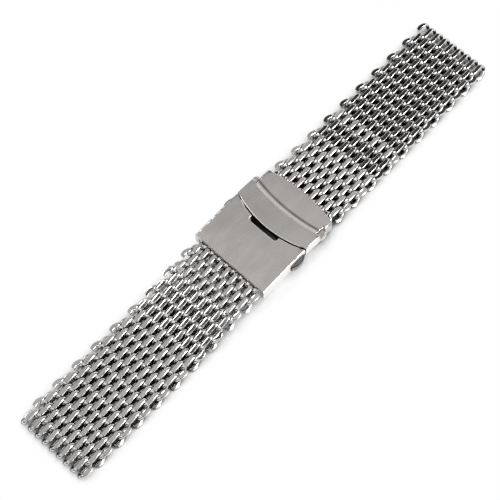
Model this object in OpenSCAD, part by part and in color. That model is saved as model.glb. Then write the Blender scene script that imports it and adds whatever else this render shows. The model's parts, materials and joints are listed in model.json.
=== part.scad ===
// Watch strap of interlinked steel wire coils, with a folding clasp that a safety flap locks.
// +X runs along the strap from its lower half to its upper half, +Y across it, +Z up.
// The origin is on the table, under the middle of the whole strap.

/* [Wire mesh] */
// Loops across the strap
loops = 9; // [5:1:12]
// Spacing of the loops across the strap
loop_pitch = 2.46; // [2.4:0.01:2.7]
// Spacing of the rows along the strap
row_pitch = 3.26; // [3.2:0.01:3.6]
// Diameter of the wire
wire_d = 0.95; // [0.8:0.01:0.97]
// Height between the upper and the lower bars of a coil, centre to centre
coil_rise = 2.1; // [2:0.01:2.2]
// Slack between two hooked loops
link_slack = 0.5; // [0.4:0.01:0.6]
// Depth ground off the top and the bottom of the mesh
face_grind = 0.1; // [0.02:0.01:0.2]
// How far the outermost bar of each coil bows outwards
edge_bow = 0.3; // [0.1:0.01:0.5]
// Rows in the half that hangs from the cover
lower_rows = 20; // [8:2:20]
// Rows in the half that hangs from the bottom blade
upper_rows = 20; // [8:2:20]
// Rows of the lower half that lie level over the blades
level_rows = 3; // [3:1:5]
// Rows over which the lower half comes down to the table
lower_fall_rows = 6; // [5:1:8]
// Rows over which the upper half comes down to the table
upper_fall_rows = 5; // [4:1:8]

/* [Cover] */
// Length of the cover, to the corners of the seam
cover_l = 15.5; // [14.5:0.1:18]
// Width of the clasp
clasp_w = 23.5; // [23.5:0.1:26]
// Thickness of the cover's plate
cover_t = 1.1; // [0.8:0.05:1.2]
// Thickness of the cover's side walls
cover_wall = 1.1; // [0.9:0.05:1.3]
// Height of the cover's side walls, plate included
cover_depth = 4.3; // [3.8:0.1:5]
// Height of the cover's crown over the table
cover_top = 7.55; // [7.5:0.05:8]
// Radius of the cover's arch
cover_arch = 100; // [80:1:160]
// Rounding of the cover's long edges
cover_round = 0.5; // [0.2:0.05:0.8]
// How far the seam bows towards the cover
seam_bow = 2.4; // [1:0.1:3]
// Gap between the cover and the flap
seam_gap = 0.3; // [0.2:0.05:0.6]
// Length of the thumbnail notch across the cover
notch_l = 9.2; // [6:0.1:12]
// Depth of the thumbnail notch at the middle of the seam
notch_depth = 1.1; // [0.6:0.1:1.6]
// Width of the ledge inside the notch
notch_ledge = 0.4; // [0.2:0.05:0.6]
// Radius of the notch's corners
notch_round = 0.7; // [0.3:0.05:1]

/* [Blades] */
// Width of the two folding blades
blade_w = 12; // [10:0.1:12.4]
// Thickness of the blades
blade_t = 0.9; // [0.7:0.05:1]
// Gap between the closed blades
blade_gap = 0.3; // [0.25:0.05:0.4]
// Radius of the blades' arch
blade_arch = 300; // [250:10:600]
// Distance from the cover's edge back to the blades' hinge
blade_reach = 7; // [5:0.1:9]
// Radius of the barrels of the blades' hinge
barrel_r = 1.15; // [1.1:0.05:1.2]
// Radius of the barrels of the cover's hinge
cover_barrel_r = 1.3; // [1.1:0.05:1.4]
// Distance from the cover's edge to the cover's hinge
cover_hinge_x = 10.4; // [9:0.1:10.6]
// Height of the cover's hinge over the table
cover_hinge_z = 3.6; // [3.55:0.05:3.7]
// Diameter of the two hinge pins
hinge_pin_d = 1.2; // [0.8:0.05:1.3]
// Width of the middle knuckle of both hinges
knuckle_w = 5.8; // [4:0.1:6.2]
// Side gap between two knuckles
knuckle_gap = 0.2; // [0.1:0.05:0.4]
// Width of an outer knuckle
outer_knuckle_w = 1.8; // [1.5:0.1:2]
// Radial clearance of a pin in the barrel that turns on it
pin_clear = 0.03; // [0.01:0.01:0.08]

/* [Safety flap] */
// Length of the flap's side, from the seam to the step
flap_l = 5.4; // [5:0.1:7]
// How far the step bows towards the cover
step_bow = 1.4; // [0.6:0.1:2]
// Height of the flap's crown over the table
flap_top = 7.6; // [7.5:0.05:8]
// Radius of the flap's arch
flap_arch = 60; // [50:1:90]
// Thickness of the flap's plate
flap_t = 0.8; // [0.6:0.05:0.9]
// Thickness of the flap's side walls
flap_wall = 1; // [0.8:0.05:1]
// Height of the flap's side walls, plate included
flap_depth = 3.7; // [3:0.1:4.2]
// Distance from the step's ends to the flap's hinge
flap_hinge_dx = 1.1; // [0.9:0.1:1.6]
// Height of the flap's hinge over the table
flap_hinge_z = 4.5; // [4.3:0.05:4.7]
// Diameter of the flap's hinge pin
flap_pin_d = 1.4; // [1:0.05:1.6]
// Radius of the flap's ears
ear_r = 1.4; // [1.1:0.05:1.5]
// How far the pin's heads stand out past the ears
pin_head_proud = 0.4; // [0.2:0.05:0.6]

/* [Strap end hood] */
// Width of the hood
hood_w = 22.4; // [21.9:0.1:22.8]
// Length of the hood, from the step's ends to its outer corners
hood_l = 5.4; // [5:0.1:7]
// How far the outer edge bows outwards
hood_bow = 1.5; // [0.6:0.1:2]
// Height of the hood's crown over the table
hood_top = 6.3; // [6.2:0.05:6.4]
// Radius of the hood's arch
hood_arch = 70; // [60:1:100]
// Thickness of the hood
hood_t = 0.9; // [0.7:0.05:1]
// Thickness of the hood's side walls
hood_wall = 1; // [0.8:0.05:1.1]
// Rounding of the hood's long edges
hood_round = 0.9; // [0.4:0.05:1]

/* [Push buttons] */
// Length of a button along the strap
button_l = 5; // [4:0.1:5.2]
// Height of a button
button_h = 2.2; // [1.8:0.1:2.4]
// Height of the buttons' middle over the table
button_z = 4.2; // [4:0.1:4.3]
// Distance from the cover's edge to the buttons' middle
button_x = 12.7; // [12.6:0.1:12.8]
// How far a button stands out of the clasp's side
button_proud = 1; // [0.6:0.1:1.2]
// Travel of a button
button_travel = 0.8; // [0.5:0.05:0.9]
// Clearance around a button
button_clear = 0.25; // [0.2:0.05:0.3]
// Diameter of a button's stem
stem_d = 1.6; // [1.2:0.1:1.8]
// Clearance of a stem in its bore
stem_clear = 0.05; // [0.04:0.01:0.1]
// Diameter of the stop collar on a stem
collar_d = 2.2; // [1.9:0.1:2.4]
// Thickness of the stop collar
collar_t = 0.5; // [0.4:0.05:0.6]
// Wire of a button's spring
spring_wire = 0.24; // [0.2:0.01:0.28]
// Turns of a button's spring
spring_turns = 3; // [2:0.5:4]

/* [Button housing] */
// Thickness of the arms that guide the buttons, across the strap
arm_t = 2.2; // [1.6:0.1:2.2]
// Length of an arm along the strap
arm_l = 4.4; // [3.6:0.1:5]
// Height of the arms' top over the table
arm_top = 5.6; // [5.4:0.05:5.8]
// Length of the housing's base
base_l = 4.6; // [3.5:0.1:4.8]
// Thickness of the housing's base at the middle
base_t = 1.6; // [1:0.1:2]
// Diameter of the rivets
rivet_d = 1.6; // [1:0.1:2]
// Diameter of the rivets' heads
rivet_head_d = 2.4; // [1.8:0.1:2.8]
// Thickness of the rivets' heads
rivet_head_t = 0.35; // [0.2:0.05:0.45]

/* [Spring bars] */
// Diameter of a spring bar's barrel
bar_d = 1.1; // [0.9:0.01:1.12]
// Diameter of a spring bar's tips
tip_d = 0.7; // [0.5:0.05:0.8]
// How deep a tip sits in its socket
tip_seat = 0.6; // [0.4:0.05:0.7]
// Radial clearance of a tip in its socket
tip_clear = 0.05; // [0.02:0.01:0.1]
// Distance from the cover's edge to its spring bar
cover_bar_x = 2.6; // [2.2:0.1:3.2]
// Distance from the hood's outer corners back to its spring bar
hood_bar_dx = 1.1; // [1:0.1:1.6]
// Gap between the mesh and the cover over it
mesh_clear = 0.45; // [0.35:0.05:0.5]
// Gap between the mesh and the hood over it
hood_clear = 0.5; // [0.4:0.05:0.6]

/* [Hidden] */
$fn = 64;
big = 60;
skin = 0.01;

mesh_t = coil_rise + wire_d - 2 * face_grind;
mesh_z = mesh_t / 2;
turn_r = norm([loop_pitch / 2, coil_rise]) / 2;
turn_tilt = atan2(coil_rise, loop_pitch / 2);
bar_l = row_pitch + wire_d + link_slack - 2 * turn_r;
// Bending draws the wire a touch thinner in its turns
turn_thinning = 0.01;
// The wire is welded to a ball, a little wider than itself, at both ends of an outermost bar
wire_ball_d = wire_d + 0.06;
// Distance of a coil's outermost bars from the strap's middle line
coil_y = (loops - 0.5) * loop_pitch / 2;

// The spring bar lies inside the end loops, clear of the wire all round
loop_clear = 0.12;
bar_reach = bar_l / 2 + turn_r - wire_d / 2 - bar_d / 2 - loop_clear;

// Height of a surface arched along the strap: its crown less the fall at x
function arch(top, radius, crown, x) = top - radius + sqrt(radius * radius - (x - crown) * (x - crown));
function bow_r(chord, bow) = (chord * chord / 4 + bow * bow) / (2 * bow);

cover_crown = 10;
cover_bar_z = arch(cover_top, cover_arch, cover_crown, cover_bar_x) - cover_t - mesh_clear - mesh_z;

blade_crown = 9;
blade_x = -blade_reach;
blade_foot = 0.1;
blade_hinge_z = blade_foot + barrel_r;
// Crown of the bottom blade's underside, so that its hinge end comes down to the foot
blade_rise = blade_arch - sqrt(blade_arch * blade_arch - (blade_crown - blade_x) * (blade_crown - blade_x));
bottom_z = blade_foot + blade_rise;
function blade_under(x) = arch(bottom_z, blade_arch - blade_t, blade_crown, x);
middle_z = bottom_z + blade_t + blade_gap;
rivet_top = bottom_z + blade_t + base_t;

seam_r = bow_r(clasp_w, seam_bow);
seam_x = cover_l - seam_bow + seam_r;
step_x = cover_l + seam_gap + flap_l;
step_r = bow_r(clasp_w, step_bow);
step_cx = step_x - step_bow + step_r;
step_gap = 0.3;
flap_crown = 13;
flap_hinge_x = step_x + flap_hinge_dx;
hood_crown = 16;
hood_x = step_x + hood_l;
hood_r = bow_r(hood_w, hood_bow);
hood_cx = hood_x + hood_bow - hood_r;
hood_bar_x = hood_x - hood_bar_dx;
hood_bar_z = arch(hood_top, hood_arch, hood_crown, hood_bar_x + bar_reach)
  - hood_t - hood_clear - mesh_z;
pocket_clear = 0.3;
pocket_x = flap_hinge_x + ear_r + pocket_clear;
pocket_y = clasp_w / 2 - flap_wall - pocket_clear;
blade_end = pocket_x + 0.4;
block_x = flap_hinge_x + flap_pin_d / 2 + 0.5;
deck_x = step_x - step_bow;

arm_y = blade_w / 2 + 0.3;
collar_gap = 0.1;
button_face = clasp_w / 2 + button_proud;
spring_y = arm_y + arm_t;
// A button's spring at rest: its length when shut, and the travel
spring_l = button_travel + (spring_turns + 1) * spring_wire + 0.04;
head_y = spring_y + spring_l;
base_x = button_x + arm_l / 2 - 0.6;

// Slope of each row: none while it is level, then down to the table and flat again
function swell(i, level, fall) =
  i <= level || i > level + fall ? 0 : pow(sin(180 * (i - level) / (fall + 1)), 2);
function row_step(i) = i == 1 ? bar_reach + row_pitch / 2 : row_pitch;
function drop(steep, n, level, fall) =
  n == 0 ? 0 : row_step(n) * sin(steep * swell(n, level, fall)) + drop(steep, n - 1, level, fall);
function steepest(fall_z, level, fall, guess = 10, tries = 12) =
  tries == 0 ? guess
  : steepest(fall_z, level, fall, guess * fall_z / drop(guess, level + fall, level, fall), tries - 1);
lower_steep = steepest(cover_bar_z - mesh_z, level_rows, lower_fall_rows);
upper_steep = steepest(hood_bar_z - mesh_z, 0, upper_fall_rows);
function lower_slope(i) = lower_steep * swell(i, level_rows, lower_fall_rows);
function upper_slope(i) = upper_steep * swell(i, 0, upper_fall_rows);

// Far hinge of row i: [distance out from the spring bar, height lost]
function lower_end(i) = i == 0 ? [0, 0]
  : lower_end(i - 1) + row_step(i) * [cos(lower_slope(i)), sin(lower_slope(i))];
function upper_end(i) = i == 0 ? [0, 0]
  : upper_end(i - 1) + row_step(i) * [cos(upper_slope(i)), sin(upper_slope(i))];

row_half = bar_l / 2 + turn_r + wire_d / 2;
lower_tip = cover_bar_x - lower_end(lower_rows).x + row_pitch / 2 - row_half;
upper_tip = hood_bar_x + upper_end(upper_rows).x - row_pitch / 2 + row_half;
mid_x = (lower_tip + upper_tip) / 2;

// Hinge axes in the part's frame, [x, z], the spring bar first
lower_hinges = [for (i = [0:lower_rows - 1])
  [cover_bar_x - lower_end(i).x - mid_x, cover_bar_z - lower_end(i).y]];
upper_hinges = [for (i = [0:upper_rows - 1])
  [hood_bar_x + upper_end(i).x - mid_x, hood_bar_z - upper_end(i).y]];

function row_name(half, i) = str(half, "_row_", i < 10 ? "0" : "", i);
CLASP = ["cover_plate", "middle_blade", "bottom_blade", "cover_hinge_pin", "blade_hinge_pin",
  "button_housing", "housing_rivets", "push_button_left", "push_button_right",
  "button_spring_left", "button_spring_right", "safety_flap", "flap_hinge_pin",
  "strap_end_hood", "hood_rivets", "cover_spring_bar", "cover_bar_tips",
  "hood_spring_bar", "hood_bar_tips"];

// Moves the clasp's own frame, which starts at the cover's edge, into the part's frame
module clasp_frame() translate([-mid_x, 0, 0]) children();

// A cylinder along Y, centred on the strap's middle line unless it is moved by y
module cross_pin(x, z, d, l, y = 0) translate([x, y, z]) rotate([90, 0, 0]) cylinder(d = d, h = l, center = true);

// A box from low to high corner
module span(low, high) translate(low) cube(high - low);

// Solid of revolution about an axis across the strap: its profile is drawn as [radius, y]
module arched(top, radius, crown, reach = 20)
  translate([crown, 0, top - radius]) rotate([90, 0, 0])
    rotate_extrude(start = 90 - asin(reach / radius), angle = 2 * asin(reach / radius), $fn = 360)
      children();

// Section of a shell with side walls and rounded long edges
module shell_section(radius, w, t, wall, depth, round) {
  difference() {
    union() {
      translate([radius - depth, -w / 2]) square([depth - round, w]);
      translate([radius - depth, -w / 2 + round]) square([depth, w - 2 * round]);
      for (side = [-1, 1]) translate([radius - round, side * (w / 2 - round)]) circle(r = round);
    }
    translate([radius - depth - 1, -w / 2 + wall]) square([depth - t + 1, w - 2 * wall]);
  }
}

module upright(low, high) translate([0, 0, low]) linear_extrude(high - low) children();

/* Wire mesh */

module wire_bar(y, z) translate([-bar_l / 2, y, z]) rotate([0, 90, 0]) cylinder(h = bar_l, d = wire_d);

// Outermost bar of a coil, bowed outwards, with a rounded end where the wire stops
module bowed_bar(side) {
  bow_r = bow_r(bar_l, edge_bow);
  half = asin(bar_l / 2 / bow_r);
  translate([0, side * (coil_y - bow_r + edge_bow), -side * coil_rise / 2])
    rotate([0, 0, side * 90 - half]) rotate_extrude(angle = 2 * half) translate([bow_r, 0]) circle(d = wire_d);
  for (end = [-1, 1])
    translate([end * bar_l / 2, side * coil_y, -side * coil_rise / 2]) sphere(d = wire_ball_d);
}

// Half turn of wire that leaves the bars on one side, leaning as the coil does
module wire_turn(y, side) translate([side * bar_l / 2, y, 0])
  rotate([side * turn_tilt, 0, 0]) rotate([0, 0, -side * 90])
    rotate_extrude(angle = 180) translate([turn_r, 0]) circle(d = wire_d - turn_thinning);

// One coil: an upper and a lower bar for every loop, half a pitch apart. Its near side has a turn for
// every loop and its far side one fewer. A trimmed coil leaves out the outermost bars.
module coil(trimmed = false) {
  $fn = 48;
  cut = trimmed ? 1 : 0;
  intersection() {
    union() {
      for (k = [1:loops - 1]) {
        wire_bar(-coil_y + k * loop_pitch, coil_rise / 2);
        wire_bar(coil_y - k * loop_pitch, -coil_rise / 2);
        wire_turn(-coil_y + (k - 0.25) * loop_pitch, 1);
      }
      for (k = [cut:loops - 1 - cut]) wire_turn(-coil_y + (k + 0.25) * loop_pitch, -1);
      if (!trimmed) for (side = [-1, 1]) bowed_bar(side);
    }
    cube([4 * row_half, 4 * coil_y, mesh_t], center = true);
  }
}

// Every second coil is turned over, so that its loops cross those of its neighbours
module hooked_coil(turned, trimmed) rotate([0, turned ? 180 : 0, 0]) coil(trimmed);

module lower_row(i) color([0.72, 0.71, 0.69]) clasp_frame() {
  slope = lower_slope(i);
  at = lower_end(i - 1) + (i == 1 ? bar_reach : row_pitch / 2) * [cos(slope), sin(slope)];
  translate([cover_bar_x - at.x, 0, cover_bar_z - at.y]) rotate([0, -slope, 0])
    hooked_coil(i % 2 == 1, i == 1);
}

module upper_row(i) color([0.72, 0.71, 0.69]) clasp_frame() {
  slope = upper_slope(i);
  at = upper_end(i - 1) + (i == 1 ? bar_reach : row_pitch / 2) * [cos(slope), sin(slope)];
  translate([hood_bar_x + at.x, 0, hood_bar_z - at.y]) rotate([0, slope, 0])
    hooked_coil(i % 2 == 0, i == 1);
}

/* Clasp */

module seam_disc(r) translate([seam_x, 0]) circle(r = r, $fn = 360);
module step_disc(r) translate([step_cx, 0]) circle(r = r, $fn = 360);

module cover_outline() difference() {
  translate([0, -clasp_w / 2 - 1]) square([cover_l, clasp_w + 2]);
  seam_disc(seam_r);
}

module notch_outline(depth) {
  floor_x = cover_l - seam_bow - depth;
  translate([floor_x, -notch_l / 2 + notch_round]) square([big, notch_l - 2 * notch_round]);
  translate([floor_x + notch_round, -notch_l / 2]) square([big, notch_l]);
  for (side = [-1, 1])
    translate([floor_x + notch_round, side * (notch_l / 2 - notch_round)]) circle(r = notch_round);
}

// Round socket in a side wall's inner face, for a spring bar's tip
module tip_sockets(x, z, w) cross_pin(x, z, tip_d + 2 * tip_clear, w + 2 * tip_seat + 2 * tip_clear);

module cover_plate() color([0.64, 0.62, 0.61]) clasp_frame() {
  ear_y = knuckle_w / 2 + knuckle_gap;
  plate_z = arch(cover_top, cover_arch, cover_crown, cover_hinge_x - cover_barrel_r) - cover_t;
  difference() {
    union() {
      intersection() {
        arched(cover_top, cover_arch, cover_crown)
          shell_section(cover_arch, clasp_w, cover_t, cover_wall, cover_depth, cover_round);
        upright(0, 2 * cover_top) cover_outline();
      }
      for (side = [-1, 1]) {
        cross_pin(cover_hinge_x, cover_hinge_z, 2 * cover_barrel_r, outer_knuckle_w,
          side * (ear_y + outer_knuckle_w / 2));
        translate([0, side * (ear_y + outer_knuckle_w / 2), 0])
          span([cover_hinge_x - cover_barrel_r, -outer_knuckle_w / 2, cover_hinge_z],
            [cover_hinge_x + cover_barrel_r, outer_knuckle_w / 2, plate_z + cover_t / 2]);
      }
    }
    // The thumbnail notch, with a ledge lower down
    upright(arch(cover_top, cover_arch, cover_crown, cover_l) - cover_t / 2, big) notch_outline(notch_depth);
    upright(cover_top - 2 * cover_t, big) notch_outline(notch_depth - notch_ledge);
    // Openings that let the buttons through the side walls, open below
    span([button_x - button_l / 2 - button_clear, -big, -1],
      [big, big, button_z + button_h / 2 + button_clear]
        - [0, big - (-clasp_w / 2 + cover_wall + 0.2), 0]);
    span([button_x - button_l / 2 - button_clear, clasp_w / 2 - cover_wall - 0.2, -1],
      [big, big, button_z + button_h / 2 + button_clear]);
    cross_pin(cover_hinge_x, cover_hinge_z, hinge_pin_d, 2 * (ear_y + outer_knuckle_w + skin));
    tip_sockets(cover_bar_x, cover_bar_z, clasp_w - 2 * cover_wall);
  }
}

// A blade's arched strip between two places along the strap
module blade_strip(z, from, to, w) intersection() {
  arched(z + blade_t, blade_arch, blade_crown, 24)
    translate([blade_arch - blade_t, -w / 2]) square([blade_t, w]);
  span([from, -big, -big], [to, big, big]);
}

module middle_blade() color([0.66, 0.65, 0.63]) clasp_frame() difference() {
  union() {
    blade_strip(middle_z, blade_x + barrel_r + 0.3, cover_hinge_x - cover_barrel_r - 0.3, blade_w);
    blade_strip(middle_z, blade_x, cover_hinge_x - 0.3, knuckle_w);
    cross_pin(blade_x, blade_hinge_z, 2 * barrel_r, knuckle_w);
    cross_pin(cover_hinge_x, cover_hinge_z, 2 * cover_barrel_r, knuckle_w);
    // Cranked web that lifts the blade's end to the cover's hinge
    translate([0, -knuckle_w / 2, 0]) span([cover_hinge_x - cover_barrel_r, 0, middle_z],
      [cover_hinge_x - cover_barrel_r + blade_t, knuckle_w, cover_hinge_z]);
  }
  cross_pin(blade_x, blade_hinge_z, hinge_pin_d + 2 * pin_clear, big);
  cross_pin(cover_hinge_x, cover_hinge_z, hinge_pin_d + 2 * pin_clear, big);
}

module bottom_blade() color([0.66, 0.65, 0.63]) clasp_frame() {
  outer_y = knuckle_w / 2 + knuckle_gap;
  difference() {
    union() {
      blade_strip(bottom_z, blade_x + barrel_r + 0.3, blade_end, blade_w);
      blade_strip(bottom_z, deck_x, blade_end, 2 * pocket_y);
      for (side = [-1, 1]) translate([0, side * (outer_y + outer_knuckle_w / 2), 0]) {
        cross_pin(blade_x, blade_hinge_z, 2 * barrel_r, outer_knuckle_w);
        blade_strip(bottom_z, blade_x, blade_x + 2 * barrel_r, outer_knuckle_w);
      }
    }
    cross_pin(blade_x, blade_hinge_z, hinge_pin_d, big);
    for (at = concat(housing_rivet_at, hood_rivet_at)) translate(at) cylinder(d = rivet_d, h = big, center = true);
    // Recesses that take the rivets' heads
    for (at = concat(housing_rivet_at, hood_rivet_at))
      translate([at.x, at.y, blade_under(at.x) + rivet_head_t - big]) cylinder(d = rivet_head_d, h = big);
  }
}

module cover_hinge_pin() color([0.75, 0.75, 0.74]) clasp_frame()
  cross_pin(cover_hinge_x, cover_hinge_z, hinge_pin_d, knuckle_w + 2 * knuckle_gap + 2 * outer_knuckle_w);

module blade_hinge_pin() color([0.75, 0.75, 0.74]) clasp_frame()
  cross_pin(blade_x, blade_hinge_z, hinge_pin_d, knuckle_w + 2 * knuckle_gap + 2 * outer_knuckle_w);

housing_rivet_at = [for (side = [-1, 1]) [base_x + base_l / 2, side * blade_w / 3, 0]];
hood_rivet_at = [for (side = [-1, 1]) [pocket_x - 2.2, side * pocket_y * 0.6, 0]];

module above_blade() arched(big, big - bottom_z - blade_t + blade_arch, blade_crown, 24)
  translate([blade_arch, -big]) square([big - bottom_z - blade_t, 2 * big]);

module button_housing() color([0.6, 0.6, 0.59]) clasp_frame() difference() {
  intersection() {
    union() {
      span([base_x, -arm_y - arm_t, 0], [base_x + base_l, arm_y + arm_t, rivet_top]);
      for (side = [-1, 1]) translate([0, side * (arm_y + arm_t / 2), 0]) {
        span([button_x - arm_l / 2, -arm_t / 2, 0], [button_x + arm_l / 2, arm_t / 2, arm_top]);
        span([button_x - arm_l / 2, -arm_t / 2, 0], [base_x + base_l, arm_t / 2, button_z - 0.6]);
      }
    }
    above_blade();
  }
  cross_pin(button_x, button_z, stem_d + 2 * stem_clear, big);
  for (at = housing_rivet_at) translate(at) cylinder(d = rivet_d, h = big, center = true);
}

// Rivets with a flat head below, flush with the blade, that fill the holes above
module rivets(places) for (at = places) translate([at.x, at.y, 0]) {
  under = blade_under(at.x + rivet_head_d / 2);
  translate([0, 0, under]) cylinder(d = rivet_head_d, h = blade_under(at.x) + rivet_head_t - under);
  translate([0, 0, under]) cylinder(d = rivet_d, h = rivet_top - under);
}

module housing_rivets() color([0.75, 0.75, 0.74]) clasp_frame() rivets(housing_rivet_at);
module hood_rivets() color([0.75, 0.75, 0.74]) clasp_frame() rivets(hood_rivet_at);

// Button on the +Y side: a head with a bowed face, on a stem with a stop collar inside the arm
module push_button() {
  face_r = bow_r(button_l, 0.8 * button_proud);
  stem_in = arm_y - collar_gap - collar_t;
  intersection() {
    span([button_x - button_l / 2, head_y, button_z - button_h / 2],
      [button_x + button_l / 2, button_face, button_z + button_h / 2]);
    translate([button_x, button_face - face_r, 0]) cylinder(r = face_r, h = big, $fn = 180);
  }
  cross_pin(button_x, button_z, stem_d, head_y - stem_in + skin, (head_y + skin + stem_in) / 2);
  cross_pin(button_x, button_z, collar_d, collar_t, stem_in + collar_t / 2);
}

module push_button_left() color([0.5, 0.5, 0.5]) clasp_frame() push_button();
module push_button_right() color([0.5, 0.5, 0.5]) clasp_frame() mirror([0, 1, 0]) push_button();

// Compression spring round a stem, one open coil of six-sided wire
spring_sides = 6;
spring_rings = 8;
spring_r = stem_d / 2 + spring_wire / 2 + 0.12;
function spring_point(a, s) =
  let (lift = spring_wire / 2 + 0.03 + (spring_l - spring_wire - 0.06) * a / (360 * spring_turns),
    turn = 360 * s / spring_sides)
  [(spring_r + spring_wire / 2 * cos(turn)) * cos(a), lift + spring_wire / 2 * sin(turn),
    (spring_r + spring_wire / 2 * cos(turn)) * sin(a)];
module button_spring() {
  rings = spring_turns * spring_rings;
  points = [for (i = [0:rings], s = [0:spring_sides - 1]) spring_point(360 * i / spring_rings, s)];
  sides = [for (i = [0:rings - 1], s = [0:spring_sides - 1], half = [0, 1])
    let (a = i * spring_sides + s, b = i * spring_sides + (s + 1) % spring_sides)
    half == 0 ? [a, b, a + spring_sides] : [b, b + spring_sides, a + spring_sides]];
  first = [for (s = [1:spring_sides - 2]) [0, s + 1, s]];
  end = rings * spring_sides;
  last = [for (s = [1:spring_sides - 2]) [end, end + s, end + s + 1]];
  translate([button_x, spring_y, button_z]) polyhedron(points, concat(sides, first, last));
}

module button_spring_left() color([0.8, 0.8, 0.8]) clasp_frame() button_spring();
module button_spring_right() color([0.8, 0.8, 0.8]) clasp_frame() mirror([0, 1, 0]) button_spring();

module flap_outline() intersection() {
  difference() {
    seam_disc(seam_r - seam_gap);
    step_disc(step_r);
  }
  translate([0, -clasp_w / 2 - 1]) square([step_x, clasp_w + 2]);
}

module safety_flap() color([0.66, 0.64, 0.62]) clasp_frame() difference() {
  union() {
    intersection() {
      arched(flap_top, flap_arch, flap_crown)
        shell_section(flap_arch, clasp_w, flap_t, flap_wall, flap_depth, 0.3);
      upright(0, 2 * flap_top) flap_outline();
    }
    for (side = [-1, 1]) translate([0, side * (clasp_w / 2 - flap_wall / 2), 0]) {
      cross_pin(flap_hinge_x, flap_hinge_z, 2 * ear_r, flap_wall);
      span([step_x - 2, -flap_wall / 2, flap_hinge_z - ear_r], [flap_hinge_x, flap_wall / 2, flap_hinge_z + ear_r * 0.8]);
    }
  }
  cross_pin(flap_hinge_x, flap_hinge_z, flap_pin_d + 2 * pin_clear, big);
}

module flap_hinge_pin() color([0.75, 0.75, 0.74]) clasp_frame() {
  cross_pin(flap_hinge_x, flap_hinge_z, flap_pin_d, clasp_w);
  for (side = [-1, 1])
    cross_pin(flap_hinge_x, flap_hinge_z, flap_pin_d + 0.6, pin_head_proud,
      side * (clasp_w / 2 + 0.05 + pin_head_proud / 2));
}

module hood_outline() intersection() {
  step_disc(step_r - step_gap);
  translate([hood_cx, 0]) circle(r = hood_r, $fn = 360);
  translate([0, -hood_w / 2 - 1]) square([big, hood_w + 2]);
}

module strap_end_hood() color([0.7, 0.68, 0.66]) clasp_frame() difference() {
  union() {
    intersection() {
      arched(hood_top, hood_arch, hood_crown)
        shell_section(hood_arch, hood_w, hood_t, hood_wall, 6.2, hood_round);
      upright(0, 2 * hood_top) hood_outline();
      above_blade();
    }
    intersection() {
      upright(0, hood_top) intersection() {
        step_disc(step_r - step_gap);
        translate([deck_x, -pocket_y]) square([block_x - deck_x, 2 * pocket_y]);
      }
      arched(hood_top - hood_t / 2, hood_arch, hood_crown)
        translate([0, -big]) square([hood_arch - hood_t / 2, 2 * big]);
      above_blade();
    }
  }
  // Pockets for the flap's ears
  for (side = [-1, 1]) mirror([0, side < 0 ? 1 : 0, 0])
    span([0, pocket_y, -1], [pocket_x, big, big]);
  cross_pin(flap_hinge_x, flap_hinge_z, flap_pin_d, big);
  for (at = hood_rivet_at) translate(at) cylinder(d = rivet_d, h = 2 * rivet_top, center = true);
  tip_sockets(hood_bar_x, hood_bar_z, hood_w - 2 * hood_wall);
}

// Spring bar between two walls: a barrel with a flange at each end
module spring_bar(x, z, between) {
  cross_pin(x, z, bar_d, between - 0.4);
}

module bar_tips(x, z, between) for (side = [-1, 1])
  cross_pin(x, z, tip_d, tip_seat + 0.2, side * (between / 2 - 0.2 + (tip_seat + 0.2) / 2));

module cover_spring_bar() color([0.75, 0.75, 0.74]) clasp_frame()
  spring_bar(cover_bar_x, cover_bar_z, clasp_w - 2 * cover_wall);
module cover_bar_tips() color([0.8, 0.8, 0.79]) clasp_frame()
  bar_tips(cover_bar_x, cover_bar_z, clasp_w - 2 * cover_wall);
module hood_spring_bar() color([0.75, 0.75, 0.74]) clasp_frame()
  spring_bar(hood_bar_x, hood_bar_z, hood_w - 2 * hood_wall);
module hood_bar_tips() color([0.8, 0.8, 0.79]) clasp_frame()
  bar_tips(hood_bar_x, hood_bar_z, hood_w - 2 * hood_wall);

cover_plate();
middle_blade();
bottom_blade();
cover_hinge_pin();
blade_hinge_pin();
button_housing();
housing_rivets();
push_button_left();
push_button_right();
button_spring_left();
button_spring_right();
safety_flap();
flap_hinge_pin();
strap_end_hood();
hood_rivets();
cover_spring_bar();
cover_bar_tips();
hood_spring_bar();
hood_bar_tips();
for (i = [1:lower_rows]) lower_row(i);
for (i = [1:upper_rows]) upper_row(i);
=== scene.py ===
# %% [markdown]
# # A steel mesh watch strap, closed by a folding clasp
#
# The strap is a chain of flattened wire coils, each hooked through the next, with a sheet steel
# clasp in the middle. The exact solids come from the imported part, in metres. This lesson gives them
# their finish: drawn wire with ground faces, brushed sheet with bright edges, turned pins.

# %% Load the part
import json
import math
import random

import bmesh
import bpy
from mathutils import Matrix, Vector
from mathutils.bvhtree import BVHTree


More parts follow.
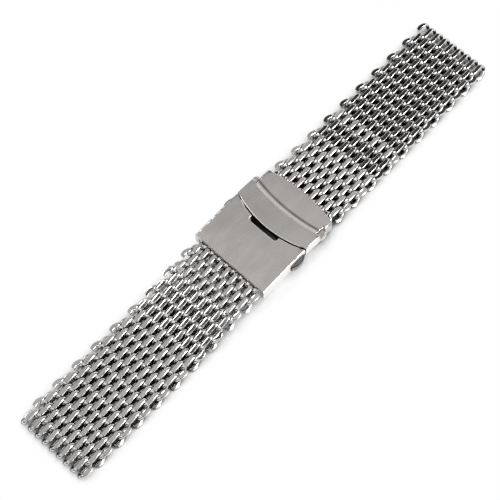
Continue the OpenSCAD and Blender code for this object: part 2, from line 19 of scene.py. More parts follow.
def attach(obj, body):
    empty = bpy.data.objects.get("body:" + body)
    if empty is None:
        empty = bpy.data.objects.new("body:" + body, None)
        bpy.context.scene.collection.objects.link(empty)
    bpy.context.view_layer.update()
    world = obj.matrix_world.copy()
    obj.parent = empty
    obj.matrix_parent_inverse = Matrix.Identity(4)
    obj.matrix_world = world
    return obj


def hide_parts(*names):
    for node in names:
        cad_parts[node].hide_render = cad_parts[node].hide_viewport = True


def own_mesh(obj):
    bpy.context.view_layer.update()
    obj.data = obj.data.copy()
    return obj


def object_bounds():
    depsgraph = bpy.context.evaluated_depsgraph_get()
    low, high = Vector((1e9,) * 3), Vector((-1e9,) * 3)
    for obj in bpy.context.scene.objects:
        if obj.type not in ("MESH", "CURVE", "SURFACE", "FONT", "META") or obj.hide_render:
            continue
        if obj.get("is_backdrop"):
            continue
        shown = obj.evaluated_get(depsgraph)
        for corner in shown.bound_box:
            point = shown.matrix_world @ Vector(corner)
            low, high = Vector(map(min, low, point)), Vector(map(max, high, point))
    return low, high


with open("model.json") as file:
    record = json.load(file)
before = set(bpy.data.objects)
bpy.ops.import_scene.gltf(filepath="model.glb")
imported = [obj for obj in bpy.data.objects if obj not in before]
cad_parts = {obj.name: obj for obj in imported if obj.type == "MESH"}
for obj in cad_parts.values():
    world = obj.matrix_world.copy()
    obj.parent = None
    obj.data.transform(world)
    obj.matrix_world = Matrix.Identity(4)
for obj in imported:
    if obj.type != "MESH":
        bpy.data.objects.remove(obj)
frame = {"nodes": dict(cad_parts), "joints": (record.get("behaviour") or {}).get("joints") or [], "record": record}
cad_low, cad_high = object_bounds()
mm = 0.001


def in_mm(lengths):
    return tuple(round(length / mm, 2) for length in lengths)


print("part from", in_mm(cad_low), "to", in_mm(cad_high), "mm")

# %% [markdown]
# ## The camera
#
# The photograph looks down on the strap from its lower left corner, from about 32 cm away. The
# angle, the distance and the focal length were fitted to the rows of the mesh and to the clasp's
# corners, so the camera is set from those numbers rather than by eye.

# %% Camera
azimuth, elevation = math.radians(-47.27), math.radians(66.97)
target, distance = Vector((-5.757, 0.638, 0.0)) * mm, 319.9 * mm
focal_pixels, picture_pixels, sensor_width = 1242.1, 500, 36.0

backward = Vector((math.sin(azimuth) * math.cos(elevation),
                   -math.cos(azimuth) * math.cos(elevation),
                   math.sin(elevation)))
rightward = Vector((math.cos(azimuth), math.sin(azimuth), 0.0))
upward = backward.cross(rightward)


def add_object(name, data):
    made = bpy.data.objects.new(name, data)
    bpy.context.scene.collection.objects.link(made)
    return made


lens = bpy.data.cameras.new("photo_camera")
lens.sensor_fit = "HORIZONTAL"
lens.sensor_width = sensor_width
lens.lens = focal_pixels / picture_pixels * sensor_width
lens.clip_start, lens.clip_end = 0.01, 10.0
camera = add_object("photo_camera", lens)
turn = Matrix((rightward, upward, backward)).transposed().to_4x4()
camera.matrix_world = Matrix.Translation(target + backward * distance) @ turn
bpy.context.scene.camera = camera
print("camera at", in_mm(camera.location), "mm with a lens of", round(lens.lens, 1), "mm")

# %% [markdown]
# ## Writing shaders as sums
#
# A pattern such as brushing is arithmetic on a few noises. Wiring a node for each sum by hand hides
# that arithmetic, so a small class wraps a socket and turns Python's operators into Math nodes. A
# second class makes every other node through one method.


# %% Sockets that can be added and multiplied
class Signal:
    """One number that varies over a surface, with Python's operators."""

    def __init__(self, shader, socket):
        self.shader, self.socket = shader, socket

    def math(self, operation, *values, clamp=False):
        made = self.shader.node("ShaderNodeMath", {"operation": operation, "use_clamp": clamp},
                                dict(enumerate(values)))
        return Signal(self.shader, made.outputs[0])

    def __add__(self, other):
        return self.math("ADD", self, other)

    __radd__ = __add__

    def __mul__(self, other):
        return self.math("MULTIPLY", self, other)

    __rmul__ = __mul__

    def __sub__(self, other):
        return self.math("SUBTRACT", self, other)

    def __rsub__(self, other):
        return self.math("SUBTRACT", other, self)

    def __pow__(self, other):
        return self.math("POWER", self, other)

    def clamped(self):
        return self.math("ADD", self, 0.0, clamp=True)

    def rise(self, low, high):
        """0 below low, 1 above high, a smooth step between."""
        made = self.shader.node("ShaderNodeMapRange", {"interpolation_type": "SMOOTHSTEP"},
                                {"Value": self, "From Min": low, "From Max": high})
        return Signal(self.shader, made.outputs[0])

    def fall(self, low, high):
        """1 below low, 0 above high."""
        return 1.0 - self.rise(low, high)


# %% Materials under construction
class Shader:
    """A material's or world's node tree."""

    def __init__(self, owner):
        owner.use_nodes = True
        self.owner, self.tree = owner, owner.node_tree
        self.tree.nodes.clear()

    def node(self, kind, settings=None, inputs=None):
        made = self.tree.nodes.new(kind)
        for name, value in (settings or {}).items():
            setattr(made, name, value)
        for name, value in (inputs or {}).items():
            if isinstance(value, Signal):
                value = value.socket
            if isinstance(value, bpy.types.NodeSocket):
                self.tree.links.new(value, made.inputs[name])
            else:
                made.inputs[name].default_value = value
        return made

    def split(self, vector):
        """The three numbers of a vector."""
        made = self.node("ShaderNodeSeparateXYZ", {}, {0: vector})
        return [Signal(self, socket) for socket in made.outputs]

    def place(self, scale=(1.0, 1.0, 1.0)):
        """Object coordinates, in millimetres times scale."""
        where = self.node("ShaderNodeTexCoord").outputs["Object"]
        sized = self.node("ShaderNodeMapping", {}, {
            "Vector": where, "Scale": [share / mm for share in scale]})
        return sized.outputs[0]

    def noise(self, scale, detail=2.0, rough=0.5):
        made = self.node("ShaderNodeTexNoise", {"noise_dimensions": "3D"}, {
            "Vector": self.place(scale), "Scale": 1.0, "Detail": detail, "Roughness": rough})
        return Signal(self, made.outputs["Fac"])

    def blend_colour(self, share, low, high):
        made = self.node("ShaderNodeMix", {"data_type": "RGBA"},
                         {0: share, 6: (*low, 1.0), 7: (*high, 1.0)})
        return made.outputs[2]

    def bump(self, height, depth):
        """A normal bent by height, of which 1 stands for depth in millimetres."""
        made = self.node("ShaderNodeBump", {}, {
            "Height": height, "Distance": depth * mm, "Strength": 1.0})
        return made.outputs[0]

    def surface(self, closure):
        world = isinstance(self.owner, bpy.types.World)
        output = self.node("ShaderNodeOutputWorld" if world else "ShaderNodeOutputMaterial")
        self.tree.links.new(closure, output.inputs["Surface"])
        return self.owner


# %% [markdown]
# ## The studio
#
# A product shot of steel is mostly a picture of what the steel reflects. Here the studio is a broad
# pale grey ceiling over a white table, with white cards in front, behind and on both sides, and
# dark room between them. The ceiling fills the flat faces, the cards draw thin bright lines along
# the rounds, and the dark room outlines the rest. A direction in the world has three parts, to the
# right, to the back and up, and each card is a range of them. The camera sees plain white behind
# the strap.

# %% World
shader = Shader(bpy.data.worlds.new("studio"))
right, behind, height = shader.split(shader.node("ShaderNodeTexCoord").outputs["Generated"])
not_behind = behind.fall(0.32, 0.38)
ceiling = height.rise(0.55, 0.74) * not_behind * right.rise(-0.12, 0.0)
front_card = (0.42 * right - 0.91 * behind).rise(0.70, 0.84) * height.fall(0.28, 0.38)
side_card = ((0.95 * right + 0.30 * behind).rise(0.55, 0.75)
             * height.rise(0.05, 0.15) * height.fall(0.45, 0.55))
back_card = behind.rise(0.46, 0.56) * height.rise(0.20, 0.30) * right.fall(0.10, 0.25)
left_card = (-1.0 * right).rise(0.30, 0.42) * height.rise(0.45, 0.60) * not_behind
room = (0.02 + 0.68 * ceiling + 1.35 * front_card + 1.0 * side_card
        + 1.2 * back_card + 1.3 * left_card)
seen = Signal(shader, shader.node("ShaderNodeLightPath").outputs["Is Camera Ray"])
glow = shader.node("ShaderNodeBackground", {}, {
    "Color": (1.0, 1.0, 1.0, 1.0), "Strength": seen + (1.0 - seen) * room})
bpy.context.scene.world = shader.surface(glow.outputs[0])
bpy.context.scene.view_settings.view_transform = "Standard"
print("world made of", len(shader.tree.nodes), "nodes")

# %% [markdown]
# ## A floor that only shows shadow
#
# The floor is white to the camera and in reflections, and matt to all other light, so it never adds
# a glare. It darkens where the strap stands close over it: that keeps the strap's shadow, and the
# openings of the mesh stay deep.

# %% Floor
floor_half_width, under_strap, shadow_reach = 3.0, 0.02 * mm, 6 * mm
grid = bmesh.new()
bmesh.ops.create_grid(grid, x_segments=1, y_segments=1, size=floor_half_width)
floor_mesh = bpy.data.meshes.new("floor")
grid.to_mesh(floor_mesh)
grid.free()
floor = add_object("floor", floor_mesh)
floor.location.z = -under_strap
floor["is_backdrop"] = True

shader = Shader(bpy.data.materials.new("floor_white"))
near = shader.node("ShaderNodeAmbientOcclusion", {"samples": 8}, {"Distance": shadow_reach})
openness = Signal(shader, near.outputs["AO"]).rise(0.32, 0.80)
path = shader.node("ShaderNodeLightPath")
camera_ray, glossy_ray, clear_ray = (Signal(shader, path.outputs[f"Is {kind} Ray"])
                                     for kind in ("Camera", "Glossy", "Transmission"))
white = shader.node("ShaderNodeEmission", {}, {
    "Color": (1.0, 1.0, 1.0, 1.0), "Strength": openness})
matt = shader.node("ShaderNodeBsdfDiffuse", {}, {"Color": (0.8, 0.8, 0.8, 1.0)})
mixed = shader.node("ShaderNodeMixShader", {}, {
    0: (camera_ray + glossy_ray + clear_ray).clamped(), 1: matt.outputs[0], 2: white.outputs[0]})
floor_mesh.materials.append(shader.surface(mixed.outputs[0]))
print("floor", *in_mm([under_strap]), "mm under the strap")

# %% [markdown]
# ## Two soft lamps
#
# The cards do most of the work in the reflections. Two large soft lamps add the light that satin
# steel spreads, one low in front and one high behind.


# %% Lamps
def softbox(name, place, size, power):
    light = bpy.data.lights.new(name, "AREA")
    light.shape, light.size, light.energy = "DISK", size, power
    lamp = add_object(name, light)
    lamp.location = place
    lamp.rotation_euler = Vector(place).to_track_quat("Z", "Y").to_euler()
    print(name, "of", power, "W, aimed at the clasp from", round(Vector(place).length, 2), "m")


softbox("side_softbox", (0.18, -0.55, 0.20), 0.30, 2.0)
softbox("top_softbox", (-0.13, 0.55, 0.69), 0.35, 2.5)

# %% [markdown]
# ## Brushed sheet
#
# Satin steel is a mirror scored with thousands of fine lines along the strap, so fine that the
# sheet looks smooth, with soft clouds where the polishing wheel lingered. The lines are a noise
# stretched thirty times along X. They move the roughness and the colour a little and raise a bump
# of a thousandth of a millimetre. A second, broad noise gives the clouds.


# %% Steel finishes
def steel(name, tint, roughness, along, across, depth, streak=0.05):
    """Brushed steel. along and across are the lines per millimetre, depth is theirs in mm."""
    shader = Shader(bpy.data.materials.new(name))
    lines = shader.noise((along, across, across), detail=4.0, rough=0.65)
    clouds = shader.noise((0.10, 0.22, 0.22))
    mark = 0.35 * lines + 0.65 * clouds
    dark = [c * (1.0 - 2.2 * streak) for c in tint]
    light = [min(1.0, c * (1.0 + 1.2 * streak)) for c in tint]
    finish = shader.node("ShaderNodeBsdfPrincipled", {}, {
        "Base Color": shader.blend_colour(mark.rise(0.30, 0.70), dark, light),
        "Metallic": 1.0,
        "Roughness": (roughness + 0.16 * (mark - 0.5)).clamped(),
        "Normal": shader.bump(lines, depth)})
    return shader.surface(finish.outputs[0])


sheet = {"roughness": 0.27, "along": 0.20, "across": 6.0, "depth": 0.001}
turned = {"along": 4.0, "across": 0.3, "depth": 0.001}
finishes = {
    "cover_steel": steel("brushed_cover", (0.62, 0.592, 0.575), **sheet),
    "flap_steel": steel("brushed_flap", (0.62, 0.597, 0.58), **sheet),
    "blade_steel": steel("satin_blades", (0.64, 0.63, 0.61), 0.32, 0.12, 4.0, 0.003),
    # the housing is coloured near black: painted shade for the clasp's dark inside
    "housing_steel": steel("satin_housing", (0.09, 0.09, 0.09), 0.36, 0.6, 2.0, 0.003),
    "button_steel": steel("brushed_buttons", (0.24, 0.24, 0.25), 0.28, 3.0, 0.3, 0.004),
    "pin_steel": steel("turned_pins", (0.74, 0.73, 0.72), 0.18, **turned),
    "bar_steel": steel("turned_bars", (0.72, 0.71, 0.70), 0.20, **turned),
    "spring_steel": steel("spring_wire", (0.70, 0.70, 0.70), 0.22, 2.0, 2.0, 0.001),
    # near-white colour for the rounds and side walls: a painted highlight
    "polished_edge": steel("polished_edges", (0.97, 0.96, 0.95), 0.34, 0.5, 3.0, 0.001,
                           streak=0.02),
    # near-black colour for the seam walls and the buttons' rounds: painted shade
    "cut_edge": steel("dull_cut_edges", (0.05, 0.05, 0.05), 0.45, 0.5, 3.0, 0.003),
}
print("finishes:", sorted(finishes))

# %% [markdown]
# ## The hood's groove
#
# The hood steps down from under the flap along a shallow arc, and a soft groove is pressed beside
# the step. The groove is a few hundredths of a millimetre deep, so it is a bump that follows the
# distance from the step's arc, and painted shade darkens its colour; between it and the step lies
# a band of painted highlight. All its lengths are in mm.

# %% Hood finish
clasp_width, step_bow, step_middle = 23.5, 1.4, 7.0422
step_radius = ((clasp_width / 2) ** 2 + step_bow ** 2) / (2 * step_bow)
step_centre = step_middle - step_bow + step_radius
line_depth, groove_depth = 0.002, 0.024


def hood_finish(name, tint):
    """Satin steel with a soft groove pressed along the step, darkened by painted shade, and a band of painted
    highlight beside it.
    """
    shader = Shader(bpy.data.materials.new(name))
    x, y, _ = shader.split(shader.place())
    from_step = step_radius - ((x - step_centre) ** 2.0 + y * y) ** 0.5
    groove_and_painted_shade = from_step.rise(0.95, 1.45) * from_step.fall(1.45, 2.15)
    painted_highlight_band = from_step.fall(0.70, 1.20)
    lines = shader.noise((0.20, 6.0, 6.0), detail=4.0, rough=0.65)
    clouds = shader.noise((0.10, 0.22, 0.22))
    # painted highlight on the band by the step and painted shade in the groove; clouds and lines are the brushing
    light = (0.52 + 0.36 * clouds + 0.06 * lines + 0.45 * painted_highlight_band - 0.70 * groove_and_painted_shade).clamped()
    finish = shader.node("ShaderNodeBsdfPrincipled", {}, {
        "Base Color": shader.blend_colour(light, [0.30 * c for c in tint],
                                          [1.18 * c for c in tint]),
        "Metallic": 1.0,
        "Roughness": (0.23 + 0.10 * clouds).clamped(),
        "Normal": shader.bump(lines - groove_depth / line_depth * groove_and_painted_shade, line_depth)})
    return shader.surface(finish.outputs[0])


finishes["hood_steel"] = hood_finish("brushed_hood", (0.74, 0.70, 0.685))
print("the step's arc has a radius of", round(step_radius, 1), "mm")

# %% [markdown]
# ## Mesh wire
#
# The coils are drawn wire, smooth on its rounds and rougher deep inside the weave, where no wheel or
# cloth reaches; there its colour also fades to near black as painted shade. The outer faces were
# ground after weaving, so each coil has flat facets there, satin with short scratches along the
# strap. A vertex attribute, written when a coil is made, says how deep in the mesh each spot lies:
# 0 at its faces and 1 in its middle.

# %% Wire finishes
shader = Shader(bpy.data.materials.new("drawn_wire"))
attribute = shader.node("ShaderNodeAttribute", {"attribute_name": "depth"})
inside = Signal(shader, attribute.outputs["Fac"]).rise(0.45, 0.90)
drawn = shader.noise((1.5, 1.5, 1.5), detail=3.0)
# deep in the weave the colour goes to near black: painted shade; drawn is the wire's own uneven tone
painted_shade_and_tone = (1.0 - inside) * drawn.rise(0.0, 0.5)
wire = shader.node("ShaderNodeBsdfPrincipled", {}, {
    "Base Color": shader.blend_colour(painted_shade_and_tone, (0.02, 0.02, 0.02), (0.74, 0.73, 0.72)),
    "Metallic": 1.0,
    "Roughness": (0.12 + 0.30 * inside + 0.08 * drawn).clamped(),
    "Normal": shader.bump(drawn, 0.003)})
finishes["mesh_wire"] = shader.surface(wire.outputs[0])
finishes["ground_facets"] = steel("ground_facets", (0.60, 0.575, 0.56), 0.17, 0.5, 7.0, 0.002,
                                  streak=0.08)
print("wire finishes: drawn_wire and ground_facets")

# %% Give every solid its finish
slots = {part["node"]: part["material_slot"] for part in frame["record"]["subparts"]}
for name, solid in frame["nodes"].items():
    solid.data.materials.clear()
    solid.data.materials.append(finishes[slots[name]])
print(len(slots), "solids finished")

# %% [markdown]
# ## Pieces that stand in for a solid
#
# The exact solids have sharp corners and are never changed themselves. A piece that needs more,
# such as a bevel, is made beside its solid, moves with the same body and takes its place. A solid
# is loose triangles, so a copy of it has its doubled points merged before anything else.

# %% Copies and stand-ins
homes = {node: body for body, nodes in frame["record"]["behaviour"]["bodies"].items()
         for node in nodes}


def merged_copy(name):
    shape = bmesh.new()
    shape.from_mesh(frame["nodes"][name].data)
    bmesh.ops.remove_doubles(shape, verts=shape.verts, dist=0.001 * mm)
    return shape


def stand_in(shape, prefix, name, *more_finishes):
    """Makes a finished shape the piece that shows in place of a solid, and frees the shape."""
    mesh = bpy.data.meshes.new(prefix + name)
    shape.to_mesh(mesh)
    shape.free()
    for finish in (slots[name], *more_finishes):
        mesh.materials.append(finishes[finish])
    piece = add_object(prefix + name, mesh)
    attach(piece, homes[name])
    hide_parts(name)
    return piece


print(len(set(homes.values())), "bodies carry the pieces")

# %% [markdown]
# ## Rounded edges on the sheet parts
#
# Pressed sheet has no knife edges: the polishing wheel leaves each with a small round. The pieces
# that show get their outward corners bevelled. Their rounds, and the side walls of the cover and the
# flap, are coloured near white as a painted highlight, the thin bright line; the walls that face
# the seam and the buttons' rounds are coloured near black as painted shade. Flat areas are joined
# first, since a bevel needs whole edges to follow. Where a row of corners ends against a slanting
# edge, a bevel shoots past the sheet, so such points go back to the nearest spot on the exact
# shape. Weighted normals then let the broad faces keep their own shading, so that only the rounds
# turn the light.

# %% Paint the walls of the seam
painted_shade_slot, painted_highlight_slot = 1, 2
seam_from, seam_to = -2.0 * mm, 1.6 * mm
notch_half_width, notch_ledge = 5.2 * mm, 6.9 * mm


def paint_seam(shape, seam_side):
    """Paints shade on the walls that face the seam, all but the notch's lip, and a highlight on the side walls."""
    for wall in shape.faces:
        middle = wall.calc_center_median()
        at_seam = wall.normal.x * seam_side > 0.75 and seam_from < middle.x < seam_to
        lip = seam_side > 0 and middle.z >= notch_ledge and abs(middle.y) <= notch_half_width
        # the walls facing the seam are coloured near black: painted shade in the gap
        if at_seam and not lip:
            wall.material_index = painted_shade_slot
        # the side walls are coloured near white: painted highlight
        if abs(wall.normal.y) > 0.7:
            wall.material_index = painted_highlight_slot


print("the seam runs from x", *in_mm([seam_from]), "to", *in_mm([seam_to]), "mm")

# %% Bevel the clasp's corners
flat_within, corner_from, crisp_from = (math.radians(angle) for angle in (0.6, 28, 40))
bevel_steps, stray_share, flat_weight = 3, 0.45, 50


def rounded(name, width, above=0.0, reach=20.0, seam_side=0, round_slot=painted_highlight_slot):
    """Rounds off the outward corners above a height and within reach of the strap's middle line."""
    shape = merged_copy(name)
    bmesh.ops.dissolve_limit(shape, angle_limit=flat_within, verts=shape.verts, edges=shape.edges)
    exact = BVHTree.FromBMesh(shape)
    corners = [edge for edge in shape.edges
               if edge.is_convex and edge.calc_face_angle() > corner_from
               and all(v.co.z > above * mm and abs(v.co.y) < reach * mm for v in edge.verts)]
    rounds = bmesh.ops.bevel(shape, geom=corners, offset=width * mm, offset_type="OFFSET",
                             affect="EDGES", segments=bevel_steps, profile=0.5, material=-1,
                             clamp_overlap=False)["faces"]
    # the rounds are coloured near white as painted highlight, or near black as painted shade on the buttons
    for face in rounds:
        face.material_index = round_slot
    for vertex in shape.verts:
        nearest, _, _, away = exact.find_nearest(vertex.co)
        if away > stray_share * width * mm:
            vertex.co = nearest
    if seam_side:
        paint_seam(shape, seam_side)
    piece = stand_in(shape, "rounded_", name, "cut_edge", "polished_edge")
    piece.data.shade_smooth()
    piece.data.set_sharp_from_angle(angle=crisp_from)
    even = piece.modifiers.new("even_shading", "WEIGHTED_NORMAL")
    even.weight, even.keep_sharp = flat_weight, True
    print(name, "bevelled along", len(corners), "edges:", len(piece.data.polygons), "faces")


rounded("cover_plate", 0.22, above=6.98, reach=11.2, seam_side=1)
rounded("safety_flap", 0.18, above=6.9, reach=11.2, seam_side=-1)
rounded("strap_end_hood", 0.20, above=5.3)
for name in ("push_button_left", "push_button_right"):
    rounded(name, 0.22, round_slot=painted_shade_slot)

# %% [markdown]
# ## The button springs
#
# Each push button rests against a small coil spring, which has to shorten by the button's travel
# when it is pressed. A smooth-shaded copy of each spring takes its place, at its full length.

# %% Button springs
for side in ("left", "right"):
    name = "button_spring_" + side
    shape = merged_copy(name)
    for face in shape.faces:
        face.smooth = True
    ends = sorted((vertex.co.y for vertex in shape.verts), key=abs)
    near, length = ends[0], abs(ends[-1] - ends[0])
    piece = stand_in(shape, "pressed_", name)
    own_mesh(piece)
    print(name, "is", *in_mm([length]), "mm long and starts at y", *in_mm([near]), "mm")

# %% [markdown]
# ## Coils of wire
#
# A coil of the mesh is one wire: across the top, half a turn down, back across the bottom, half a
# turn up, nine loops from side to side. It is made the way the wire is bent. A ring of points is
# carried straight for every bar and spun half round for every turn. Twenty points round the wire
# and ten steps round a turn keep it smooth at a sixth of the weight of the exact solids. The
# outermost bar at either edge bows outwards. A trimmed coil, beside the clasp, has lost those two
# bars.

# %% Sizes of a coil
loops, loop_pitch, row_pitch = 9, 2.46 * mm, 3.26 * mm
wire_d, coil_rise, link_slack = 0.95 * mm, 2.1 * mm, 0.5 * mm
face_grind, edge_bow = 0.1 * mm, 0.3 * mm
ring_points, turn_steps, bow_steps = 20, 10, 8
mesh_thick = coil_rise + wire_d - 2 * face_grind
turn_r = math.hypot(loop_pitch / 2, coil_rise) / 2
bar_l = row_pitch + wire_d + link_slack - 2 * turn_r
coil_y = (loops - 0.5) * loop_pitch / 2
print("bars", *in_mm([bar_l]), "mm long between turns of", *in_mm([turn_r]), "mm radius")


# %% Bend one coil
def bar_y(side, k):
    """Where a bar lies across the strap. side is 1 for the upper layer, -1 for the lower one."""
    return -coil_y + k * loop_pitch + (side < 0) * loop_pitch / 2


def bow_side(side, k, trimmed):
    """-1 or 1 for the outermost bars, which bow outwards, and 0 for all others."""
    if trimmed:
        return 0
    return {(1, 0): -1, (-1, loops - 1): 1}.get((side, k), 0)


def faces_of(made):
    return [part for part in made if isinstance(part, bmesh.types.BMFace)]


def draw_straight(wire, end, by, cap=False):
    """Lengthens the wire from its end face. The face stays only where it caps the wire's start."""
    made = bmesh.ops.extrude_face_region(wire, geom=end, use_keep_orig=cap)["geom"]
    if not cap:
        bmesh.ops.delete(wire, geom=[face for face in end if face.is_valid], context="FACES_ONLY")
    points = [part for part in made if isinstance(part, bmesh.types.BMVert)]
    bmesh.ops.translate(wire, verts=points, vec=by)
    return faces_of(made)


def bend_round(wire, end, centre, axis):
    """Bends the wire half a turn on from its end face."""
    made = bmesh.ops.spin(wire, geom=end, cent=centre, axis=axis, angle=math.pi, steps=turn_steps,
                          use_duplicate=False, use_merge=False, use_normal_flip=False)["geom_last"]
    bmesh.ops.delete(wire, geom=end, context="FACES_ONLY")
    return faces_of(made)


def bend_coil(trimmed=False):
    """A coil about the origin: a turn for every loop on its -X side, one fewer on its +X side."""
    bars = [(side, k) for k in range(loops) for side in (1, -1)]
    bars = bars[1:-1] if trimmed else bars
    going = -bars[0][0]
    wire = bmesh.new()
    ring = bmesh.ops.create_circle(wire, segments=ring_points, radius=wire_d / 2,
                                   cap_ends=True)["verts"]
    bmesh.ops.rotate(wire, verts=ring, matrix=Matrix.Rotation(math.radians(90), 3, "Y"))
    bmesh.ops.translate(wire, verts=ring,
                        vec=(-going * bar_l / 2, bar_y(*bars[0]), bars[0][0] * coil_rise / 2))
    end, cap = wire.faces[:], True
    for side, k in bars:
        bow = bow_side(side, k, trimmed)
        steps = bow_steps if bow else 1
        for step in range(steps):
            before, after = ((2 * place / steps - 1) ** 2 for place in (step, step + 1))
            outwards = bow * edge_bow * (before - after)
            end = draw_straight(wire, end, (going * bar_l / steps, outwards, 0.0), cap)
            cap = False
        if (side, k) != bars[-1]:
            corner = Vector((going * bar_l / 2, bar_y(side, k), side * coil_rise / 2))
            across = Vector((0.0, loop_pitch / 2, -side * coil_rise))
            axis = Vector((going, 0.0, 0.0)).cross(across).normalized()
            end = bend_round(wire, end, corner + across / 2, axis)
            going = -going
    return wire


coil = bend_coil()
print("a bent coil has", len(coil.faces), "faces")
coil.free()

# %% [markdown]
# ## Rolling the woven band
#
# The woven band then runs between rollers. They squeeze the outer half of every bar, so its face is
# broader than the wire, with a sloping shoulder on either side, and they drag the bars slightly
# askew. Both are moves of the finished wire's points, strongest in the middle of a bar and gone
# where its turns begin.

# %% Roll the bars
# How wide a rolled bar is beside a round one, from its inner side at -1 to its outer side at 1
rolled_widths = [(-1.0, 1.0), (-0.45, 1.0), (0.0, 1.34), (0.20, 1.40),
                 (0.48, 1.32), (0.79, 1.50), (1.0, 1.60)]
roll_fades_from, roll_fades_to = 1.35 * mm, 1.95 * mm
askew_slope = 0.045


def eased(value, low, high):
    share = min(1.0, max(0.0, (value - low) / (high - low)))
    return share * share * (3 - 2 * share)


def rolled_width(out):
    for (a, wide_a), (b, wide_b) in zip(rolled_widths, rolled_widths[1:]):
        if a <= out <= b + 1e-6:
            return wide_a + (wide_b - wide_a) * (out - a) / (b - a)
    return 1.0


def bar_middle(spot, trimmed):
    """Where the nearest bar's middle runs, before it is set askew."""
    side = 1 if spot.z > 0 else -1
    k = min(loops - 1, max(0, round((spot.y - bar_y(side, 0)) / loop_pitch)))
    bow = edge_bow * max(0.0, 1 - (2 * spot.x / bar_l) ** 2)
    return bar_y(side, 0) + k * loop_pitch + bow_side(side, k, trimmed) * bow


def askew(spot):
    along = min(bar_l / 2, max(-bar_l / 2, spot.x))
    return askew_slope * along * min(1.0, max(-1.0, 2 * spot.z / coil_rise))


def roll_bars(wire, trimmed=False):
    """Spreads each bar's outer half into a broad face with shoulders, and sets the bars askew."""
    for vertex in wire.verts:
        out = (abs(vertex.co.z) - coil_rise / 2) / (wire_d / 2)
        middle = bar_middle(vertex.co, trimmed)
        reach = 1 - eased(abs(vertex.co.x), roll_fades_from, roll_fades_to)
        vertex.co.y = middle + (vertex.co.y - middle) * (1 + reach * (rolled_width(out) - 1))
        vertex.co.y += askew(vertex.co)
    return wire


widest = wire_d * max(wide * math.sqrt(1 - out ** 2) for out, wide in rolled_widths)
print("a rolled bar is", *in_mm([widest]), "mm wide, for a wire of", *in_mm([wire_d]), "mm")

# %% [markdown]
# ## Grinding the faces
#
# Last, both faces of the band are ground. A plane cuts the coil flat above and below, and the cuts
# are filled with facets that have their own finish. Their rims stay sharp, since a smooth one would
# smear the shading of the wire over the facet. The band never runs quite level under the wheel, so
# the facets of a row lean a little, which is what makes some rows light and others dark.

# %% Grind and shade
ground_slot = 1


def crisp(wire):
    """Smooth wire facing outwards, with a sharp rim round every ground face."""
    bmesh.ops.recalc_face_normals(wire, faces=wire.faces)
    for face in wire.faces:
        face.smooth = True
    for edge in wire.edges:
        rim = any(face.material_index == ground_slot for face in edge.link_faces)
        edge.smooth = not (rim or edge.calc_face_angle(0.0) > crisp_from)
    return wire


def grind_faces(wire):
    """Cuts the coil flat above and below, and gives the facets the second finish."""
    for side in (1, -1):
        cut = bmesh.ops.bisect_plane(wire, geom=wire.verts[:] + wire.edges[:] + wire.faces[:],
                                     dist=1e-7, plane_co=(0, 0, side * mesh_thick / 2),
                                     plane_no=(0, 0, side), clear_outer=True)["geom_cut"]
        edges = [part for part in cut if isinstance(part, bmesh.types.BMEdge)]
        for facet in bmesh.ops.holes_fill(wire, edges=edges, sides=0)["faces"]:
            facet.material_index = ground_slot
    return crisp(wire)


def lean_faces(wire, lean, up, trimmed=False):
    """Tips the faces on the up side about their bars: lean is how far their normal turns to +Y."""
    for vertex in wire.verts:
        if abs(vertex.co.z) > mesh_thick / 2 - 1e-6:
            side = 1 if vertex.co.z > 0 else -1
            straight = Vector((vertex.co.x, vertex.co.y - askew(vertex.co), vertex.co.z))
            rise = lean * (straight.y - bar_middle(straight, trimmed)) if side == up else 0.0
            vertex.co.z = side * (mesh_thick / 2 - rise)


woven = {trimmed: crisp(roll_bars(bend_coil(trimmed), trimmed)) for trimmed in (True, False)}
ground = {trimmed: grind_faces(coil.copy()) for trimmed, coil in woven.items()}
print("a ground coil has", len(ground[False].faces), "faces")

# %% [markdown]
# ## Hooking the coils together
#
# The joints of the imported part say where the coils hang: coil after coil lies between its own hinge
# and the next one's, so those two points give its place and its slope. Every second coil is turned
# over, which lets its loops cross its neighbours' instead of lying along them. The rows of the
# lower half that slope up to the clasp were never ground, and keep their round wire.

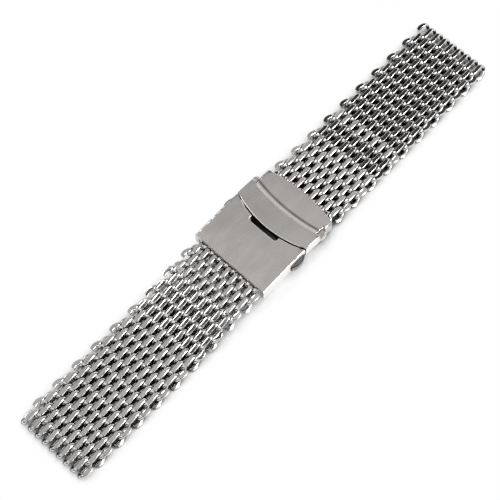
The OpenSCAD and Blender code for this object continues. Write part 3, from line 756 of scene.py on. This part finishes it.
# %% Place the coils
hinges = {joint["name"]: Vector(joint["pos_m"]) for joint in frame["joints"]
          if "_hinge_" in joint["name"]}
chance = random.Random(12)
uneven = 0.008


def resting_place(half, i, outward):
    """A coil's middle and the direction in which it points away from the clasp."""
    here = hinges[f"{half}_hinge_{i:02d}"]
    following = hinges.get(f"{half}_hinge_{i + 1:02d}")
    if following is None:
        along = Vector((outward, 0, 0))
        return here + along * row_pitch / 2, along
    along = (following - here).normalized()
    return following - along * row_pitch / 2, along


def place_coils(half, outward, turned_when, leans, round_rows=()):
    """Lays one half of the strap. leans gives rows their lean, and under 0 that of all others."""
    count = sum(name.startswith(half + "_hinge") for name in hinges)
    for i in range(1, count + 1):
        name, trimmed, up = f"{half}_row_{i:02d}", i == 1, -1 if i % 2 == turned_when else 1
        coil = (woven if i in round_rows else ground)[trimmed].copy()
        lean_faces(coil, leans.get(i, leans[0]) + chance.uniform(-uneven, uneven), up, trimmed)
        # the depth attribute sets where the wire is coloured near black as painted shade, and rougher
        layer = coil.verts.layers.float.new("depth")
        for vertex in coil.verts:
            vertex[layer] = 1.0 - abs(vertex.co.z) / (mesh_thick / 2)
        if up < 0:
            bmesh.ops.rotate(coil, verts=coil.verts, matrix=Matrix.Rotation(math.pi, 3, "Y"))
        centre, along = resting_place(half, i, outward)
        slope = Matrix.Rotation(-math.atan2(along.z * outward, along.x * outward), 3, "Y")
        bmesh.ops.rotate(coil, verts=coil.verts, matrix=slope)
        bmesh.ops.translate(coil, verts=coil.verts, vec=centre)
        stand_in(coil, "wire_", name, "ground_facets")
    print(count, "coils in the", half, "half")


place_coils("lower", -1, 1, {0: 0.0}, round_rows=(4, 5, 6, 7, 8))
place_coils("upper", 1, 0, {0: 0.13, 2: 0.0, 3: 0.0, 4: 0.0, 5: 0.01, 6: 0.01, 9: 0.0})

# %% [markdown]
# ## Measure and finish
#
# The dressed strap has to keep the part's size, so both boxes are written down before the end.

# %% Sizes and finish
low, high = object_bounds()
print("dressed strap from", in_mm(low), "to", in_mm(high), "mm")
